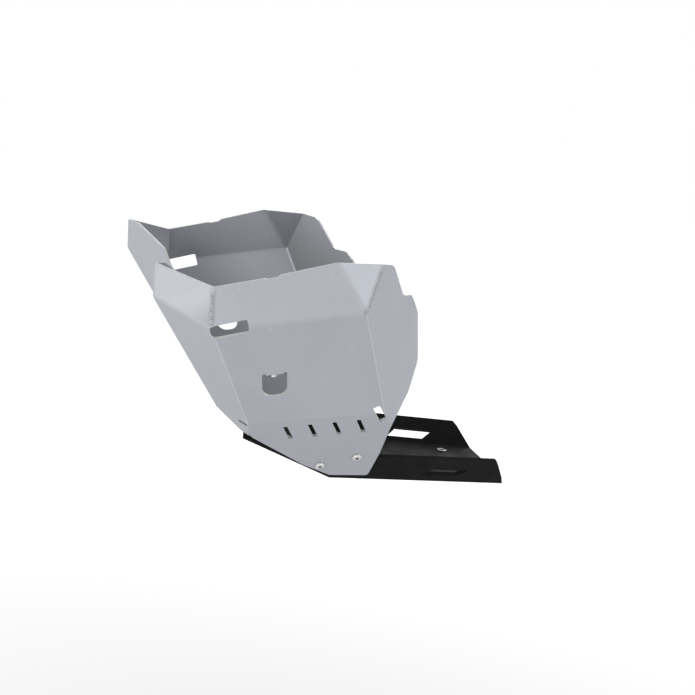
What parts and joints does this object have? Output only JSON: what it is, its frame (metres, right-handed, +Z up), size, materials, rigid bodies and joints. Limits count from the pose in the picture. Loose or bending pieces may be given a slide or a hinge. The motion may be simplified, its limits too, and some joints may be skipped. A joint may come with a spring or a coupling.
{
  "type": "motorcycle skid plate",
  "caption": "Folded aluminium skid plate with side wings, window, slots and a black plastic belly plate screwed below.",
  "frame": {"origin": "centre of the belly plate's four fixing holes, on its underside and on the centre plane", "axes": "+X to the motorcycle's rear, +Y to the side away from the camera, +Z up, away from the belly plate's underside"},
  "size_m": [0.528, 0.521, 0.3111],
  "materials": {
    "aluminium_sheet": "light satin, faintly speckled",
    "belly_plastic": "black, low sheen",
    "weld_bead": "rippled weld",
    "zinc_steel": "bright zinc plated",
    "spacer_plastic": "black"
  },
  "bodies": {
    "root": {"left_guard": "aluminium_sheet", "right_guard": "aluminium_sheet", "centre_panel": "aluminium_sheet", "belly_plate": "belly_plastic", "front_weld_left": "weld_bead", "front_weld_right": "weld_bead", "rear_weld_left": "weld_bead", "rear_weld_right": "weld_bead", "centre_weld_left": "weld_bead", "centre_weld_right": "weld_bead", "tab_screws": "zinc_steel", "tab_washers": "zinc_steel", "tab_nuts": "zinc_steel", "flap_screws": "zinc_steel", "flap_spacers": "spacer_plastic", "flap_nuts": "zinc_steel", "nose_screws": "zinc_steel", "nose_nuts": "zinc_steel", "mount_bushes": "zinc_steel"}
  },
  "joints": []
}
